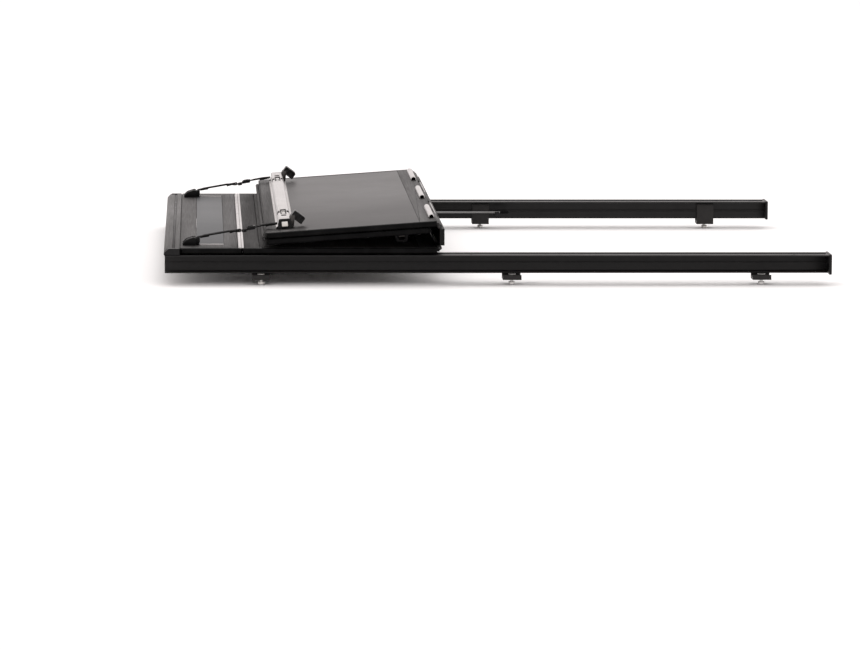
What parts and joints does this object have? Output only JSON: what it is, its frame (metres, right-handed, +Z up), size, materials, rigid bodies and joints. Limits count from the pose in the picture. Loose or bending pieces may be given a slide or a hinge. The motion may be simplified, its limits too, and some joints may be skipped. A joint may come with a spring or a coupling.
{
  "type": "tonneau cover",
  "caption": "Folding hard tonneau cover on side rails, half open: the two rear panels lie folded on the second, showing a latch bar, levers and retaining straps.",
  "frame": {"origin": "bottom centre of the bounding box: mid length, mid width, at the feet of the clamp screws", "axes": "+X along the bed toward the tailgate, +Y to the vehicle's right, +Z up"},
  "size_m": [1.652, 1.472, 0.1751],
  "materials": {
    "rail_alu": "satin black anodised",
    "bright_alu": "brushed mill finish",
    "black_alu": "satin black powder coat",
    "skin": "matt textured grey coat",
    "plate": "smooth blue grey coat",
    "core": "foamed plastic",
    "rubber": "matt",
    "plastic": "moulded, satin",
    "steel": "zinc plated",
    "webbing": "woven webbing"
  },
  "bodies": {
    "rail_frame": {"side_rail_left": "rail_alu", "side_rail_right": "rail_alu", "rail_seals": "rubber", "rail_end_caps": "plastic", "rail_clamps": "black_alu", "clamp_screws": "steel", "header_rail": "black_alu", "header_seal": "rubber", "header_corner_caps": "plastic", "panel_1_frame": "black_alu", "panel_1_plate": "plate", "panel_1_core": "core", "panel_1_side_seals": "rubber", "hinge_1_front_leaf": "bright_alu", "hinge_1_pin": "steel", "strap_anchors": "plastic", "strap_front": "webbing", "prop_rod_brackets": "plastic", "prop_rod_clips": "plastic"},
    "panel_2": {"panel_2_frame": "black_alu", "panel_2_top_skin": "skin", "panel_2_core": "core", "panel_2_bottom_skin": "skin", "panel_2_side_seals": "rubber", "hinge_1_rear_leaf": "bright_alu", "hinge_2_front_leaf": "black_alu", "hinge_2_pin": "steel"},
    "link": {"link_plate": "black_alu"},
    "rear_pair": {"panel_3_frame": "black_alu", "panel_3_top_skin": "skin", "panel_3_core": "core", "panel_3_bottom_skin": "skin", "panel_3_side_seals": "rubber", "panel_4_frame": "black_alu", "panel_4_top_skin": "skin", "panel_4_core": "core", "panel_4_bottom_skin": "skin", "panel_4_side_seals": "rubber", "hinge_3_rear_leaf": "black_alu", "hinge_3_pin": "steel", "hinge_3_blocks": "bright_alu", "hinge_4_leaves": "black_alu", "hinge_4_pin": "steel", "tail_seal": "rubber", "latch_bar_mid": "bright_alu", "latch_bar_rear": "bright_alu", "latch_housings": "plastic", "release_cables": "steel", "lever_brackets": "steel", "bar_feet": "rubber", "strap_rear": "webbing", "strap_adjusters": "plastic"},
    "mid_lever_left": {"mid_lever_left": "plastic"},
    "mid_lever_right": {"mid_lever_right": "plastic"},
    "mid_bolt_left": {"mid_bolt_left": "steel"},
    "mid_bolt_right": {"mid_bolt_right": "steel"},
    "rear_bolt_left": {"rear_bolt_left": "steel"},
    "rear_bolt_right": {"rear_bolt_right": "steel"},
    "prop_rod_left": {"prop_rod_left": "steel"},
    "prop_rod_right": {"prop_rod_right": "steel"}
  },
  "joints": [
    {"name": "stack_flip_up", "type": "hinge", "parent": "rail_frame", "child": "panel_2", "pos_m": [-0.638, 0, 0.0865], "axis": [0, -1, 0], "range_deg": [0, 85]},
    {"name": "prop_rod_left_swing", "type": "hinge", "parent": "rail_frame", "child": "prop_rod_left", "pos_m": [-0.406, -0.65, 0.047], "axis": [0, -1, 0], "range_deg": [0, 110]},
    {"name": "prop_rod_right_swing", "type": "hinge", "parent": "rail_frame", "child": "prop_rod_right", "pos_m": [-0.406, 0.65, 0.047], "axis": [0, -1, 0], "range_deg": [0, 110]},
    {"name": "link_unfold", "type": "hinge", "parent": "panel_2", "child": "link", "pos_m": [-0.146, 0, 0.092], "axis": [0, 1, 0], "range_deg": [0, 90.01]},
    {"name": "rear_unfold", "type": "hinge", "parent": "link", "child": "rear_pair", "pos_m": [-0.146, 0, 0.145], "axis": [0, 1, 0], "range_deg": [0, 94.1], "deforming": ["strap_front"]},
    {"name": "mid_lever_left_pull", "type": "hinge", "parent": "rear_pair", "child": "mid_lever_left", "pos_m": [-0.50658, -0.619, 0.16126], "axis": [0, -1, 0], "range_deg": [0, 28], "stiffness_Nm_per_rad": 0.05, "springref_deg": -5.73},
    {"name": "mid_lever_right_pull", "type": "hinge", "parent": "rear_pair", "child": "mid_lever_right", "pos_m": [-0.50658, 0.619, 0.16126], "axis": [0, -1, 0], "range_deg": [0, 28], "stiffness_Nm_per_rad": 0.05, "springref_deg": -5.73},
    {"name": "mid_bolt_left_slide", "type": "slide", "parent": "rear_pair", "child": "mid_bolt_left", "axis": [0, 1, 0], "range_m": [0, 0.014], "stiffness_N_per_m": 3, "springref_m": -0.004},
    {"name": "mid_bolt_right_slide", "type": "slide", "parent": "rear_pair", "child": "mid_bolt_right", "axis": [0, -1, 0], "range_m": [0, 0.014], "stiffness_N_per_m": 3, "springref_m": -0.004},
    {"name": "rear_bolt_left_slide", "type": "slide", "parent": "rear_pair", "child": "rear_bolt_left", "axis": [0, 1, 0], "range_m": [0, 0.014], "stiffness_N_per_m": 3, "springref_m": -0.004},
    {"name": "rear_bolt_right_slide", "type": "slide", "parent": "rear_pair", "child": "rear_bolt_right", "axis": [0, -1, 0], "range_m": [0, 0.014], "stiffness_N_per_m": 3, "springref_m": -0.004}
  ],
  "couplings": [
    {"joint": "prop_rod_left_swing", "follows": "stack_flip_up", "ratio": 1.28},
    {"joint": "prop_rod_right_swing", "follows": "stack_flip_up", "ratio": 1.28},
    {"joint": "link_unfold", "follows": "rear_unfold", "ratio": 0.95643},
    {"joint": "mid_lever_right_pull", "follows": "mid_lever_left_pull", "ratio": 1},
    {"joint": "mid_bolt_left_slide", "follows": "mid_lever_left_pull", "m_per_rad": 0.028443},
    {"joint": "mid_bolt_right_slide", "follows": "mid_lever_left_pull", "m_per_rad": 0.028443},
    {"joint": "rear_bolt_right_slide", "follows": "rear_bolt_left_slide", "ratio": 1}
  ]
}
